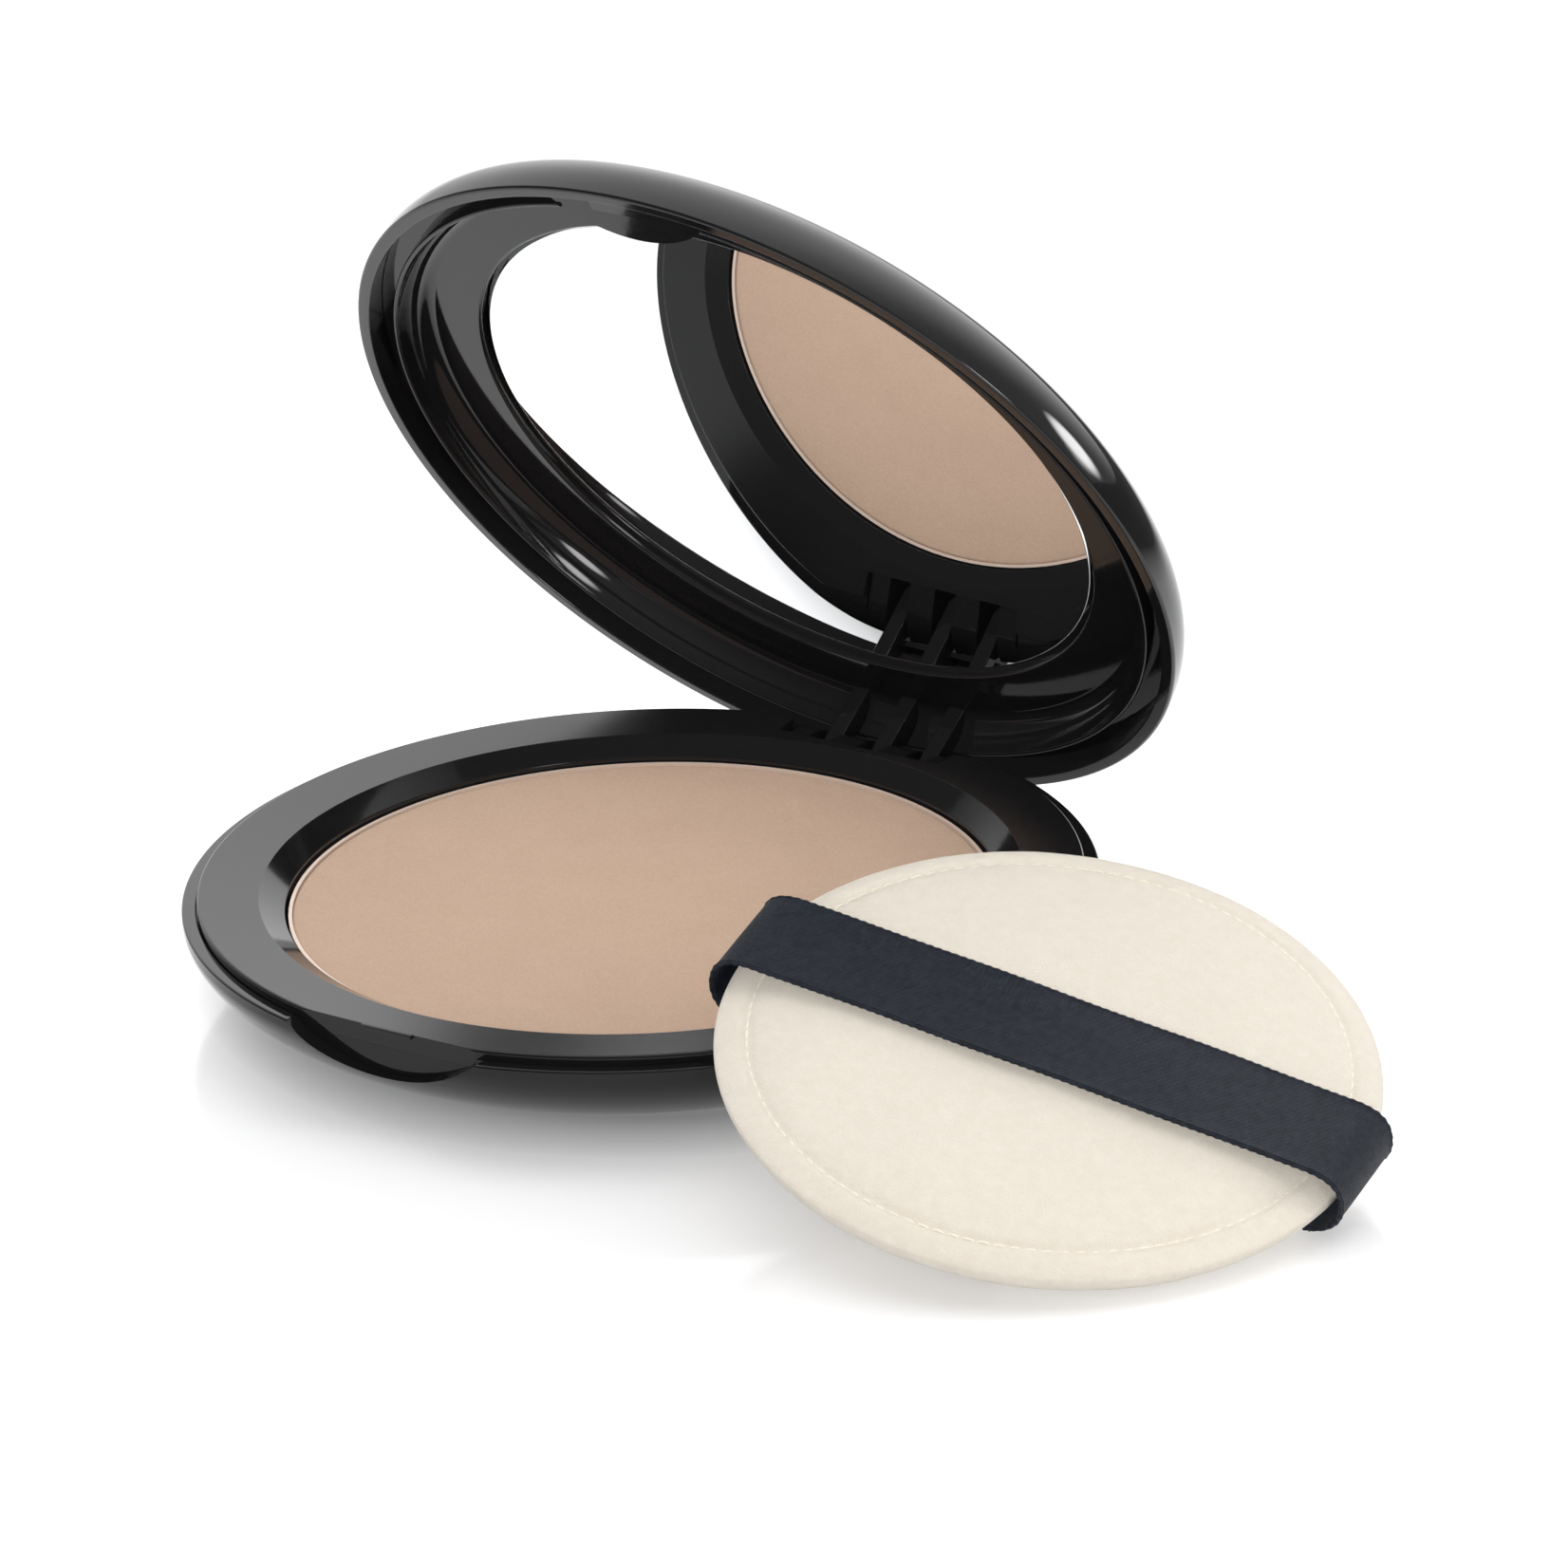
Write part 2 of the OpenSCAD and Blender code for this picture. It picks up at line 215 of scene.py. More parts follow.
def make_world():
    """A bright sweep behind and above the object, a dim studio round it and two softboxes at the right."""
    world = bpy.data.worlds.new("studio")
    bpy.context.scene.world = world
    world.use_nodes = True
    tree = world.node_tree
    where = node(tree, "TexCoord").outputs["Generated"]
    aside = measure(tree, "DOT_PRODUCT", where, (0.94, 0.34, 0))
    total = remap(tree, aside, -0.3, 0.6, 0.09, 0.45)
    for patch in (
        ((-0.375, 0.6, 0.707), 75, 8, 1.75),
        ((0.74, 0.64, 0.16), 10, 3.5, 16),
        ((0.886, -0.451, 0.105), 9, 3, 16),
    ):
        total = node(tree, "Math", {0: total, 1: glow(tree, where, *patch)}, operation="ADD").outputs[0]
    tree.links.new(total, tree.nodes["Background"].inputs["Strength"])
    tree.nodes["Background"].inputs["Color"].default_value = (1, 1, 1, 1)


def make_fill(name, towards, power):
    """Soft shadowless light that evens out powder, puff and floor and shows in no reflection."""
    fill = bpy.data.objects.new(name, bpy.data.lights.new(name, "SUN"))
    fill.data.energy = power
    fill.data.angle = math.radians(50)
    fill.data.use_shadow = False
    fill.visible_glossy = False
    fill.rotation_euler = Vector(towards).to_track_quat("-Z", "Y").to_euler()
    bpy.context.scene.collection.objects.link(fill)


def make_bounce():
    """Light that the mirror throws back onto the powder under the lid."""
    bounce = bpy.data.objects.new("mirror_bounce", bpy.data.lights.new("mirror_bounce", "AREA"))
    bounce.data.shape = "DISK"
    bounce.data.size = 0.05
    bounce.data.energy = 0.008
    bounce.data.use_shadow = False
    bounce.visible_glossy = False
    bounce.visible_camera = False
    bounce.location = (0, 0.014, 0.034)
    bounce.rotation_euler = Vector((0, -0.2, -1)).to_track_quat("-Z", "Y").to_euler()
    bpy.context.scene.collection.objects.link(bounce)


def studio_floor():
    """Glossy white acrylic with a painted contact shadow under the compact, and painted shade, dark and matt,
    far to its right.
    """
    white, dark = (0.83, 0.83, 0.835), (0.08, 0.08, 0.08)
    material, tree, bsdf = shader("floor_white", white, 0.1, IOR=1.6)
    across = measure(tree, "DOT_PRODUCT", in_mm(tree), (0.82, 0.57, 0))
    link(tree, remap(tree, across, 90, 130, 0.5, 0), bsdf, "Specular IOR Level")
    away = measure(tree, "DISTANCE", in_mm(tree), (0, 5, 0))
    # Painted shade: the floor colour fades to dark far to the right of the compact.
    painted_far_shade = remap(tree, across, 115, 170, 0, 1)
    # Painted contact shadow: the floor colour darkens within about 41 mm of the middle, under the compact.
    under = remap(tree, away, 33, 41, 0.65, 0)
    shade = node(tree, "Math", {0: painted_far_shade, 1: under}, operation="MAXIMUM").outputs[0]
    link(tree, blend_colours(tree, shade, white, dark), bsdf, "Base Color")
    return material


def make_stage():
    bpy.ops.mesh.primitive_circle_add(vertices=96, radius=3, fill_type="NGON")
    floor = bpy.context.object
    floor.name = "floor"
    floor.data.materials.append(studio_floor())
    make_fill("fill_above", (-0.05, 0.25, -0.97), 1.28)
    make_fill("fill_front", (-0.3, 0.8, -0.3), 1.65)
    make_bounce()
    view = bpy.context.scene.view_settings
    view.view_transform = "Standard"
    view.look = "None"


# ---------------------------------------------------------------- materials
def shader(name, colour, roughness, **sockets):
    """A Principled material, its node tree and its shader node."""
    material = bpy.data.materials.new(name)
    material.use_nodes = True
    tree = material.node_tree
    bsdf = tree.nodes["Principled BSDF"]
    bsdf.inputs["Base Color"].default_value = (*colour, 1)
    bsdf.inputs["Roughness"].default_value = roughness
    for socket, value in sockets.items():
        bsdf.inputs[socket.replace("_", " ")].default_value = value
    return material, tree, bsdf


def node(tree, kind, inputs=(), **settings):
    """A new node with its settings, whose inputs are linked from sockets or set to values."""
    made = tree.nodes.new("ShaderNode" + kind)
    for key, value in settings.items():
        setattr(made, key, value)
    for key, value in dict(inputs).items():
        if isinstance(value, bpy.types.NodeSocket):
            tree.links.new(value, made.inputs[key])
        else:
            made.inputs[key].default_value = value
    return made


def measure(tree, operation, first, second):
    """One number from two vectors: their dot product or their distance."""
    return node(tree, "VectorMath", {0: first, 1: second}, operation=operation).outputs["Value"]


def in_mm(tree):
    """Object coordinates in millimetres."""
    where = node(tree, "TexCoord").outputs["Object"]
    return node(tree, "VectorMath", {0: where, "Scale": 1 / MM}, operation="SCALE").outputs["Vector"]


def speckle(tree, vector, scale, detail, roughness=0.6):
    """Noise from 0 to 1 with that many features per millimetre."""
    return node(tree, "TexNoise", {
        "Vector": vector, "Scale": scale, "Detail": detail, "Roughness": roughness,
    }).outputs["Fac"]


def remap(tree, value, low_in, high_in, low_out, high_out):
    return node(tree, "MapRange", {
        "Value": value, "From Min": low_in, "From Max": high_in, "To Min": low_out, "To Max": high_out,
    }).outputs["Result"]


def blend_colours(tree, amount, first, second):
    made = node(tree, "Mix", {0: amount, 6: (*first, 1), 7: (*second, 1)}, data_type="RGBA")
    return made.outputs[2]


def bump(tree, bsdf, height, depth_mm, strength=1.0):
    made = node(tree, "Bump", {"Height": height, "Distance": depth_mm * MM, "Strength": strength})
    tree.links.new(made.outputs["Normal"], bsdf.inputs["Normal"])


def link(tree, value, bsdf, socket):
    tree.links.new(value, bsdf.inputs[socket])


def gloss_black(name, level):
    """Polished injection moulding: faint flow ripple, and hairline wear in the roughness."""
    material, tree, bsdf = shader(name, (0.006, 0.006, 0.0065), 0.06, IOR=1.5, Specular_IOR_Level=level)
    at = in_mm(tree)
    fine = speckle(tree, at, 1.6, 4)
    link(tree, remap(tree, fine, 0.35, 0.7, 0.045, 0.085), bsdf, "Roughness")
    bump(tree, bsdf, speckle(tree, at, 0.11, 1), 0.012)
    return material


def deck_black():
    """The same black moulding, with a satin flat round the well and polished walls."""
    material = gloss_black("deck_black", 0.33)
    tree = material.node_tree
    bsdf = tree.nodes["Principled BSDF"]
    flat = node(tree, "SeparateXYZ", {0: node(tree, "NewGeometry").outputs["True Normal"]}).outputs["Z"]
    link(tree, remap(tree, flat, 0.97, 0.99, 0.07, 0.26), bsdf, "Roughness")
    return material


def pressed_powder():
    """Pressed pigment: mottled tone, scattered pale and dark grains, matt surface."""
    material, tree, bsdf = shader("pressed_powder", (0.398, 0.282, 0.207), 0.92, IOR=1.35)
    at = in_mm(tree)
    tone = remap(tree, speckle(tree, at, 0.16, 4), 0.3, 0.7, 0, 1)
    grain = remap(tree, speckle(tree, at, 7, 3, 0.75), 0.35, 0.65, 0, 1)
    mottled = blend_colours(tree, tone, (0.384, 0.27, 0.197), (0.413, 0.295, 0.219))
    grains = blend_colours(tree, grain, (0.34, 0.234, 0.168), (0.47, 0.343, 0.261))
    made = node(tree, "Mix", {0: 0.5, 6: mottled, 7: grains}, data_type="RGBA")
    link(tree, made.outputs[2], bsdf, "Base Color")
    bump(tree, bsdf, grain, 0.03, 0.6)
    return material


def velour(name, light, dark):
    """Short cut pile: mottled cream, soft sheen, and a fine nap in the bump."""
    material, tree, bsdf = shader(name, light, 0.95, Sheen_Weight=0.35, Sheen_Roughness=0.45, IOR=1.3)
    at = in_mm(tree)
    clump = remap(tree, speckle(tree, at, 0.9, 3), 0.3, 0.7, 0, 1)
    pile = remap(tree, speckle(tree, at, 5.5, 4, 0.7), 0.3, 0.7, 0, 1)
    mixed = node(tree, "Math", {0: clump, 1: pile}, operation="MULTIPLY").outputs[0]
    link(tree, blend_colours(tree, mixed, dark, light), bsdf, "Base Color")
    bump(tree, bsdf, pile, 0.12, 0.8)
    return material


def satin_ribbon():
    """Warp-faced satin: long fine floats along the ribbon, broken by staggered tie-down points."""
    material, tree, bsdf = shader(
        "satin_ribbon", (0.008, 0.01, 0.015), 0.5, Anisotropic=0.4, Specular_IOR_Level=0.16
    )
    uv = node(tree, "UVMap", uv_map="weave").outputs["UV"]
    along = node(tree, "SeparateXYZ", {0: uv})
    per_mm = 2 * math.pi / WARP_PITCH
    warp = node(tree, "Math", {0: along.outputs["Y"], 1: per_mm}, operation="MULTIPLY").outputs[0]
    threads = node(tree, "Math", {0: warp}, operation="SINE").outputs[0]
    stagger = node(tree, "Math", {0: along.outputs["Y"], 1: 2.5}, operation="MULTIPLY").outputs[0]
    shifted = node(tree, "Math", {0: along.outputs["X"], 1: stagger}, operation="ADD").outputs[0]
    tie = node(tree, "Math", {0: shifted, 1: 2 * math.pi / TIE_PITCH}, operation="MULTIPLY").outputs[0]
    ties = node(tree, "Math", {0: tie}, operation="SINE").outputs[0]
    woven = node(tree, "Math", {0: threads, 1: 0.55, 2: ties}, operation="MULTIPLY_ADD").outputs[0]
    fuzz = speckle(tree, in_mm(tree), 4, 4)
    height = node(tree, "Math", {0: fuzz, 1: 0.8, 2: woven}, operation="MULTIPLY_ADD").outputs[0]
    mottle = speckle(tree, in_mm(tree), 1.3, 3)
    uneven = node(tree, "Math", {0: mottle, 1: 5, 2: height}, operation="MULTIPLY_ADD").outputs[0]
    shade = remap(tree, uneven, 1.2, 4.8, 0, 1)
    link(tree, blend_colours(tree, shade, (0.0035, 0.0045, 0.007), (0.018, 0.023, 0.032)), bsdf, "Base Color")
    link(tree, remap(tree, fuzz, 0.3, 0.7, 0.42, 0.6), bsdf, "Roughness")
    bump(tree, bsdf, height, 0.02, 0.7)
    return material


def thread(name, light, dark):
    """Twisted yarn: fine fibres across a matt thread."""
    material, tree, bsdf = shader(name, light, 0.8, Sheen_Weight=0.25)
    fibre = remap(tree, speckle(tree, in_mm(tree), 9, 3), 0.3, 0.7, 0, 1)
    link(tree, blend_colours(tree, fibre, dark, light), bsdf, "Base Color")
    bump(tree, bsdf, fibre, 0.04, 0.7)
    return material


def silvered_glass():
    """Silver behind clear glass, with the faintest haze."""
    material, tree, bsdf = shader("silvered_glass", (0.93, 0.94, 0.945), 0.01, Metallic=1.0)
    haze = speckle(tree, in_mm(tree), 0.25, 3)
    link(tree, remap(tree, haze, 0.4, 0.75, 0.004, 0.02), bsdf, "Roughness")
    return material


def metal(name, colour, grain_scale, stretch, roughness):
    """Drawn or turned metal: grain lines stretched along one direction."""
    material, tree, bsdf = shader(name, colour, roughness, Metallic=1.0)
    lines = node(tree, "Mapping", {"Vector": in_mm(tree), "Scale": stretch}).outputs["Vector"]
    grain = speckle(tree, lines, grain_scale, 4)
    link(tree, remap(tree, grain, 0.3, 0.7, roughness - 0.08, roughness + 0.1), bsdf, "Roughness")
    bump(tree, bsdf, grain, 0.01, 0.5)
    return material


def dusted_pan():
    """Drawn aluminium whose rim carries a film of powder."""
    material = metal("pan_aluminium", (0.6, 0.58, 0.56), 1.2, (0.4, 0.4, 6), 0.4)
    tree = material.node_tree
    bsdf = tree.nodes["Principled BSDF"]
    at = in_mm(tree)
    height = node(tree, "SeparateXYZ", {0: at}).outputs["Z"]
    film = remap(tree, height, PAN_TOP - 0.9, PAN_TOP - 0.2, 0, 0.8)
    link(tree, blend_colours(tree, film, (0.6, 0.58, 0.56), (0.56, 0.42, 0.33)), bsdf, "Base Color")
    link(tree, remap(tree, height, PAN_TOP - 0.9, PAN_TOP - 0.2, 1, 0.25), bsdf, "Metallic")
    return material


def matt(name, light, dark, scale, roughness, depth_mm, **sockets):
    """A plain matt finish whose tone and surface both carry fine grain."""
    material, tree, bsdf = shader(name, light, roughness, **sockets)
    grain = remap(tree, speckle(tree, in_mm(tree), scale, 4), 0.3, 0.7, 0, 1)
    link(tree, blend_colours(tree, grain, dark, light), bsdf, "Base Color")
    bump(tree, bsdf, grain, depth_mm, 0.6)
    return material


# ---------------------------------------------------------------- mesh tools, in millimetres
def arc(r, z, radius, start, end, steps=6):
    """Points (r, z) of an arc about a centre, from one angle to another in degrees."""
    turn = [math.radians(start + (end - start) * k / steps) for k in range(steps + 1)]
    return [(r + radius * math.cos(a), z + radius * math.sin(a)) for a in turn]


def super_curve(r0, z0, r1, z1, n, steps=40):
    """Superellipse from (r0, z0), where it runs flat, to (r1, z1), where it stands upright."""
    angles = [math.pi / 2 * (1 - k / steps) for k in range(steps + 1)]
    return [(r0 + (r1 - r0) * max(math.cos(a), 0) ** (2 / n), z0 + (z1 - z0) * (1 - math.sin(a) ** (2 / n)))
            for a in angles]


def solid(bm, name):
    """An object from a bmesh, with its normals outward."""
    bmesh.ops.recalc_face_normals(bm, faces=bm.faces)
    mesh = bpy.data.meshes.new(name)
    bm.to_mesh(mesh)
    bm.free()
    made = bpy.data.objects.new(name, mesh)
    bpy.context.scene.collection.objects.link(made)
    return made


def lathe(name, outline):
    """A solid of revolution about Z from a closed (r, z) outline."""
    bm = bmesh.new()
    turn = [2 * math.pi * k / SEGMENTS for k in range(SEGMENTS)]
    rings = []
    for r, z in outline:
        angles = turn if r > 1e-6 else [0]
        rings.append([bm.verts.new((r * math.cos(a), r * math.sin(a), z)) for a in angles])
    for one, other in zip(rings, rings[1:] + rings[:1]):
        for k in range(SEGMENTS):
            n = (k + 1) % SEGMENTS
            corners = dict.fromkeys([
                one[k % len(one)], one[n % len(one)], other[n % len(other)], other[k % len(other)],
            ])
            if len(corners) > 2:
                bm.faces.new(corners)
    return solid(bm, name)


def prism(name, outline, axis, start, end):
    """A closed 2D outline swept along X, Y or Z. The outline's axes are the other two, in order."""
    place = {
        "X": lambda a, b, t: (t, a, b),
        "Y": lambda a, b, t: (a, t, b),
        "Z": lambda a, b, t: (a, b, t),
    }[axis]
    bm = bmesh.new()
    rings = [[bm.verts.new(place(a, b, t)) for a, b in outline] for t in (start, end)]
    for k in range(len(outline)):
        n = (k + 1) % len(outline)
        bm.faces.new((rings[0][k], rings[0][n], rings[1][n], rings[1][k]))
    bm.faces.new(rings[0])
    bm.faces.new(rings[1])
    return solid(bm, name)


def box(name, low_corner, high_corner):
    (x0, y0, z0), (x1, y1, z1) = low_corner, high_corner
    return prism(name, [(x0, y0), (x1, y0), (x1, y1), (x0, y1)], "Z", z0, z1)


def drum(name, radius, half):
    """A round bar along the hinge's axis."""
    circle = arc(HINGE_Y, HINGE_Z, radius, 0, 360 - 360 / DRUM_SIDES, DRUM_SIDES - 1)
    return prism(name, circle, "X", -half, half)


def baked(obj):
    """Applies the object's modifiers."""
    bpy.context.view_layer.update()
    shown = obj.evaluated_get(bpy.context.evaluated_depsgraph_get())
    mesh = bpy.data.meshes.new_from_object(shown)
    obj.modifiers.clear()
    obj.data = mesh


def combine(obj, tool, operation):
    """Cuts, joins or keeps the overlap with a tool, which is used up."""
    step = obj.modifiers.new("combine", "BOOLEAN")
    step.object, step.operation, step.solver = tool, operation, "EXACT"
    baked(obj)
    bpy.data.objects.remove(tool)
    return obj


def cut(obj, tool):
    combine(obj, tool, "DIFFERENCE")


def join(obj, tool):
    combine(obj, tool, "UNION")


def overlap(obj, tool):
    return combine(obj, tool, "INTERSECT")


def soften(obj, width, angle=32, segments=2):
    """Rounds the sharp edges that cutting left."""
    bm = bmesh.new()
    bm.from_mesh(obj.data)
    bmesh.ops.remove_doubles(bm, verts=bm.verts, dist=width / 4)
    sharp = [e for e in bm.edges if len(e.link_faces) == 2 and e.calc_face_angle() > math.radians(angle)]
    bmesh.ops.bevel(
        bm, geom=sharp, offset=width, segments=segments, profile=0.5, affect="EDGES", clamp_overlap=True
    )
    bm.to_mesh(obj.data)
    bm.free()
    return obj


OPENED = (
    Matrix.Translation((0, HINGE_Y, HINGE_Z))
    @ Matrix.Rotation(-LID_OPEN, 4, "X")
    @ Matrix.Translation((0, -HINGE_Y, -HINGE_Z))
)
SHUT_LID = OPENED @ Matrix.Translation((0, 0, PART_Z))
LEANING = (
    Matrix.Translation(PUFF_AT)
    @ Matrix.Rotation(PUFF_HEADING, 4, "Z")
    @ Matrix.Rotation(PUFF_TILT, 4, "Y")
)
RIBBON_PLACE = LEANING @ Matrix.Rotation(RIBBON_HEADING, 4, "Z")


def finished(obj, material, body, nodes, place=Matrix(), sharp=32, weighted=False):
    """Shades the piece, moves it from its own frame to its place, puts it under its body and hides the CAD
    nodes it replaces.
    """
    obj.data.transform(Matrix.Scale(MM, 4) @ place)
    obj.data.materials.clear()
    obj.data.materials.append(material)
    obj.data.polygons.foreach_set("use_smooth", [True] * len(obj.data.polygons))
    obj.data.set_sharp_from_angle(angle=math.radians(sharp))
    if weighted:
        obj.modifiers.new("weighted", "WEIGHTED_NORMAL").keep_sharp = True
        baked(obj)
    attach(obj, body)
    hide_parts(*nodes)


# ---------------------------------------------------------------- base
def rim_sweep():
    """Room that the lid's rear rim sweeps through, behind the pin."""
    back = HINGE_Y + 6
    hollow = arc(HINGE_Y, HINGE_Z, BARREL_R, -34.8, 90, 24)
    return prism("rim_sweep", [
        *hollow, (HINGE_Y, HINGE_Z + 7), (back, HINGE_Z + 7), (back, HINGE_Z - 2),
    ], "X", -20, 20)


def make_base_shell(material):
    under = super_curve(FOOT_R, 0, CASE_R, LIP_Z - LIP_SIDE, UNDER_N)
    lip = arc(CASE_R - 0.2, LIP_Z - 0.2, 0.2, 0, 90)
    inner_lip = arc(SEAT_R + 0.15, LIP_Z - 0.15, 0.15, 90, 180, 4)
    hollow = super_curve(HOLLOW_FLOOR_R, WALL, HOLLOW_R, HOLLOW_Z, UNDER_N, 16)
    shell = lathe("case_base", [
        (0, LABEL_T), (LABEL_R, LABEL_T), *arc(LABEL_R + 0.15, 0.15, 0.15, 180, 270, 3), *under, *lip,
        *inner_lip, (SEAT_R, LEDGE_Z), (LEDGE_R, LEDGE_Z), *reversed(hollow), (0, WALL),
    ])
    cut(shell, box("pocket", (-CHEEK_OUT, POCKET_FRONT, POCKET_FLOOR), (CHEEK_OUT, 45, 12)))
    cut(shell, rim_sweep())
    barrel = arc(HINGE_Y, HINGE_Z, BARREL_R, -90, 90, 32)
    side = [(POCKET_FRONT, WALL / 2), (HINGE_Y, WALL / 2), *barrel, (POCKET_FRONT, LIP_Z)]
    blocks = box(
        "blocks",
        (-CHEEK_OUT, POCKET_FRONT - POCKET_WALL, WALL / 2),
        (CHEEK_OUT, POCKET_FRONT + 0.01, LEDGE_Z),
    )
    for middle, width in ((LUG_PITCH / 2, KNUCKLE_W), ((CHEEK_IN + CHEEK_OUT) / 2, CHEEK_OUT - CHEEK_IN)):
        for side_x in (-middle, middle):
            join(blocks, prism("knuckle", side, "X", side_x - width / 2, side_x + width / 2))
    overlap(blocks, lathe("envelope", [(0, 0), *under, *lip, (0, LIP_Z)]))
    join(shell, blocks)
    scoop_r = (SCOOP_HALF_W**2 + SCOOP_DEPTH**2) / (2 * SCOOP_DEPTH)
    scoop = arc(0, LIP_Z - SCOOP_DEPTH + scoop_r, scoop_r, 180, 360, 160)
    cut(shell, prism("scoop", scoop, "Y", -CHORD_Y, -CASE_R - 2))
    cut(shell, drum("bore", PIN_R + 0.01, CHEEK_OUT + 1))
    soften(shell, 0.09)
    finished(shell, material, "base", ["base_shell"], weighted=True)


def make_base_deck(material):
    deck = lathe("deck_insert", [
        (0, WELL_FLOOR_Z), *arc(WELL_R - WELL_CORNER, WELL_FLOOR_Z + WELL_CORNER, WELL_CORNER, -90, 0),
        (WELL_R, SLOPE_Z - 0.15), (WELL_R + 0.05, SLOPE_Z + 0.05),
        *arc(DECK_INNER_R + 0.05, DECK_Z - DECK_FALL - 0.13, 0.13, 120, 93, 4),
        *arc(DECK_R - 0.25, DECK_Z - 0.25, 0.25, 90, 0),
        (DECK_R, LEDGE_Z), (LEDGE_R, LEDGE_Z), (LEDGE_R, DECK_Z - DECK_PLATE),
        (WELL_R + 2.4, DECK_Z - DECK_PLATE), (WELL_R + WELL_WALL, SLOPE_Z - 0.2),
        (WELL_R + WELL_WALL, WELL_FLOOR_Z + WELL_CORNER + 0.2),
        (WELL_R - WELL_CORNER, WELL_FLOOR_Z - WELL_FLOOR_T), (0, WELL_FLOOR_Z - WELL_FLOOR_T),
    ])
    cut(deck, box("front_flat", (-30, -60, -1), (30, -CHORD_Y, 20)))
    cut(deck, box("slot", (-CHEEK_OUT - 0.2, POCKET_FRONT, -1), (CHEEK_OUT + 0.2, 45, 20)))
    cut(deck, rim_sweep())
    ridge_top = DECK_Z - CATCH_RIDGE
    ridge_front = -CHORD_Y - CATCH_RIDGE
    join(deck, prism("ridge", [
        (-CHORD_Y + 0.1, ridge_top), (ridge_front, ridge_top), (ridge_front, DECK_Z - 0.1),
        (ridge_front + 0.15, DECK_Z), (-CHORD_Y + 0.1, DECK_Z),
    ], "X", -CATCH_HALF_W, CATCH_HALF_W))
    soften(deck, 0.07)
    finished(deck, material, "base", ["base_deck"], weighted=True)


def make_powder(material):
    """The cake: a pressed surface with a soft rolled edge and a barely uneven top."""
    cake_r = PAN_R - PAN_T
    outline = [
        (0, PAN_Z + 0.4), (cake_r - 0.55, PAN_Z + 0.4), (cake_r, PAN_Z + 1),
        *arc(cake_r - 0.35, CAKE_TOP - 0.35, 0.35, 0, 90, 5),
        *[(cake_r - 0.35 - k, CAKE_TOP) for k in range(1, math.floor(cake_r))], (0, CAKE_TOP),
    ]
    cake = lathe("powder", outline)
    for v in cake.data.vertices:
        if v.co.z > CAKE_TOP - 0.3:
            grain = noise.noise(v.co * 1.4) * 0.012 + noise.noise(v.co * 0.12) * 0.03
            v.co.z += grain - 0.04
    finished(cake, material, "base", ["powder_cake"])


# ---------------------------------------------------------------- lid
def make_lid_shell(material):
    crown = [(r, LID_H - z) for r, z in super_curve(0, 0, LID_R, LID_H - RIM_ROUND, LID_N, 64)]
    top = LID_H - WALL
    ceiling = [(r, top - z) for r, z in super_curve(0, 0, LID_HOLLOW_R, top - RIM_SEAT, LID_N, 20)]
    shell = lathe("lid_cover", [
        *crown,
        *arc(LID_R - RIM_ROUND, RIM_ROUND, RIM_ROUND, 0, -90),
        *arc(RIM_INNER_R + 0.12, 0.12, 0.12, 270, 180, 4),
        (RIM_INNER_R, RIM_SEAT), *reversed(ceiling),
    ])
    join(shell, box("nib", (-CATCH_HALF_W, -RIM_INNER_R - 0.4, 0.01), (CATCH_HALF_W, -CHORD_Y - 0.2, 0.2)))
    finished(shell, material, "lid", ["lid_shell"], SHUT_LID, weighted=True)


def half_moon():
    """Outline of the tab over the thumb scoop, from chord to arc."""
    arc_r = (TAB_HALF_W**2 + TAB_REACH**2) / (2 * TAB_REACH)
    middle = -TAB_CHORD + TAB_REACH - arc_r
    half = math.degrees(math.acos((arc_r - TAB_REACH) / arc_r))
    return arc(0, middle, arc_r, 90 - half, 90 + half, 48)


